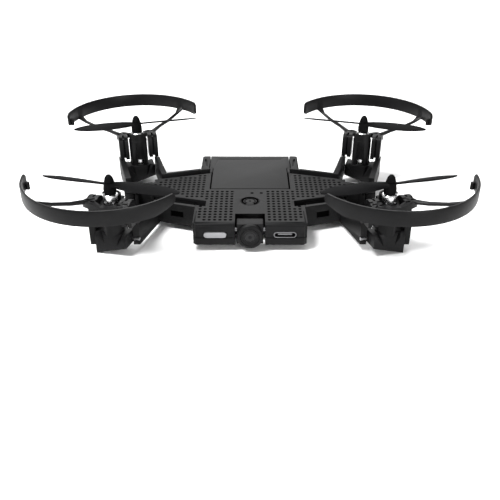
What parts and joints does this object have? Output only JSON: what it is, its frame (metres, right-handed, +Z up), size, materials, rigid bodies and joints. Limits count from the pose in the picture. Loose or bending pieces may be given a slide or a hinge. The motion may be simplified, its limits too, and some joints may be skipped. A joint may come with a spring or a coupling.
{
  "type": "folding mini palm drone",
  "caption": "Palm-sized quadcopter with a flat body, folding motor pods, clip-on ring guards, a tilting nose camera and a slide-out battery.",
  "frame": {"origin": "on the floor, below the middle of the drone as it stands on its pods", "axes": "+X to the drone's side (its longest direction), +Y towards its tail, +Z up (its shortest); the camera faces -Y"},
  "size_m": [0.1736, 0.1338, 0.0339],
  "materials": {
    "shell_black": "fine matte texture",
    "frame_black": "matte moulded",
    "guard_black": "satin moulded",
    "prop_black": "semi-gloss moulded",
    "lens_dark": "polished dark lens",
    "light_grey": "frosted translucent",
    "steel": "satin",
    "motor_silver": "polished can",
    "board_green": "solder mask"
  },
  "bodies": {
    "body": {"top_shell": "shell_black", "bottom_shell": "shell_black", "main_board": "board_green", "power_switch": "frame_black", "usb_port": "steel", "light_window": "light_grey", "camera_axle": "steel", "front_left_fork": "frame_black", "front_left_hinge_pin": "steel", "front_left_body_screw": "steel", "front_right_fork": "frame_black", "front_right_hinge_pin": "steel", "front_right_body_screw": "steel", "rear_left_fork": "frame_black", "rear_left_hinge_pin": "steel", "rear_left_body_screw": "steel", "rear_right_fork": "frame_black", "rear_right_hinge_pin": "steel", "rear_right_body_screw": "steel"},
    "battery": {"battery_pack": "shell_black"},
    "button": {"power_button": "shell_black"},
    "camera": {"camera_block": "shell_black", "camera_barrel": "frame_black", "camera_lens": "lens_dark"},
    "front_left_pod_arm": {"front_left_pod": "frame_black", "front_left_motor": "motor_silver"},
    "front_left_rotor": {"front_left_motor_shaft": "steel", "front_left_propeller": "prop_black", "front_left_spinner": "prop_black"},
    "front_left_guard_clip": {"front_left_guard": "guard_black"},
    "front_right_pod_arm": {"front_right_pod": "frame_black", "front_right_motor": "motor_silver"},
    "front_right_rotor": {"front_right_motor_shaft": "steel", "front_right_propeller": "prop_black", "front_right_spinner": "prop_black"},
    "front_right_guard_clip": {"front_right_guard": "guard_black"},
    "rear_left_pod_arm": {"rear_left_pod": "frame_black", "rear_left_motor": "motor_silver"},
    "rear_left_rotor": {"rear_left_motor_shaft": "steel", "rear_left_propeller": "prop_black", "rear_left_spinner": "prop_black"},
    "rear_left_guard_clip": {"rear_left_guard": "guard_black"},
    "rear_right_pod_arm": {"rear_right_pod": "frame_black", "rear_right_motor": "motor_silver"},
    "rear_right_rotor": {"rear_right_motor_shaft": "steel", "rear_right_propeller": "prop_black", "rear_right_spinner": "prop_black"},
    "rear_right_guard_clip": {"rear_right_guard": "guard_black"}
  },
  "joints": [
    {"name": "battery_slide", "type": "slide", "parent": "body", "child": "battery", "axis": [0, 1, 0], "range_m": [0, 0.038]},
    {"name": "power_button_press", "type": "slide", "parent": "body", "child": "button", "axis": [0, 0, -1], "range_m": [0, 0.0004], "stiffness_N_per_m": 300},
    {"name": "camera_tilt", "type": "hinge", "parent": "body", "child": "camera", "pos_m": [0, -0.0311, 0.00755], "axis": [1, 0, 0], "range_deg": [-30, 15]},
    {"name": "front_left_pod_fold", "type": "hinge", "parent": "body", "child": "front_left_pod_arm", "pos_m": [-0.05357, -0.03214, 0.00525], "axis": [-0.9603, 0.279, 0], "range_deg": [0, 90]},
    {"name": "front_left_prop_spin", "type": "hinge", "parent": "front_left_pod_arm", "child": "front_left_rotor", "pos_m": [-0.0542, -0.0343, 0.0292], "axis": [0, 0, 1], "continuous": true},
    {"name": "front_left_guard_lift", "type": "slide", "parent": "body", "child": "front_left_guard_clip", "axis": [0, 0, 1], "range_m": [0, 0.0035]},
    {"name": "front_right_pod_fold", "type": "hinge", "parent": "body", "child": "front_right_pod_arm", "pos_m": [0.05357, -0.03214, 0.00525], "axis": [-0.9603, -0.279, 0], "range_deg": [0, 90]},
    {"name": "front_right_prop_spin", "type": "hinge", "parent": "front_right_pod_arm", "child": "front_right_rotor", "pos_m": [0.0542, -0.0343, 0.0292], "axis": [0, 0, 1], "continuous": true},
    {"name": "front_right_guard_lift", "type": "slide", "parent": "body", "child": "front_right_guard_clip", "axis": [0, 0, 1], "range_m": [0, 0.0035]},
    {"name": "rear_left_pod_fold", "type": "hinge", "parent": "body", "child": "rear_left_pod_arm", "pos_m": [-0.05357, 0.03214, 0.00525], "axis": [0.9603, 0.279, 0], "range_deg": [0, 90]},
    {"name": "rear_left_prop_spin", "type": "hinge", "parent": "rear_left_pod_arm", "child": "rear_left_rotor", "pos_m": [-0.0542, 0.0343, 0.0292], "axis": [0, 0, 1], "continuous": true},
    {"name": "rear_left_guard_lift", "type": "slide", "parent": "body", "child": "rear_left_guard_clip", "axis": [0, 0, 1], "range_m": [0, 0.0035]},
    {"name": "rear_right_pod_fold", "type": "hinge", "parent": "body", "child": "rear_right_pod_arm", "pos_m": [0.05357, 0.03214, 0.00525], "axis": [0.9603, -0.279, 0], "range_deg": [0, 90]},
    {"name": "rear_right_prop_spin", "type": "hinge", "parent": "rear_right_pod_arm", "child": "rear_right_rotor", "pos_m": [0.0542, 0.0343, 0.0292], "axis": [0, 0, 1], "continuous": true},
    {"name": "rear_right_guard_lift", "type": "slide", "parent": "body", "child": "rear_right_guard_clip", "axis": [0, 0, 1], "range_m": [0, 0.0035]}
  ]
}
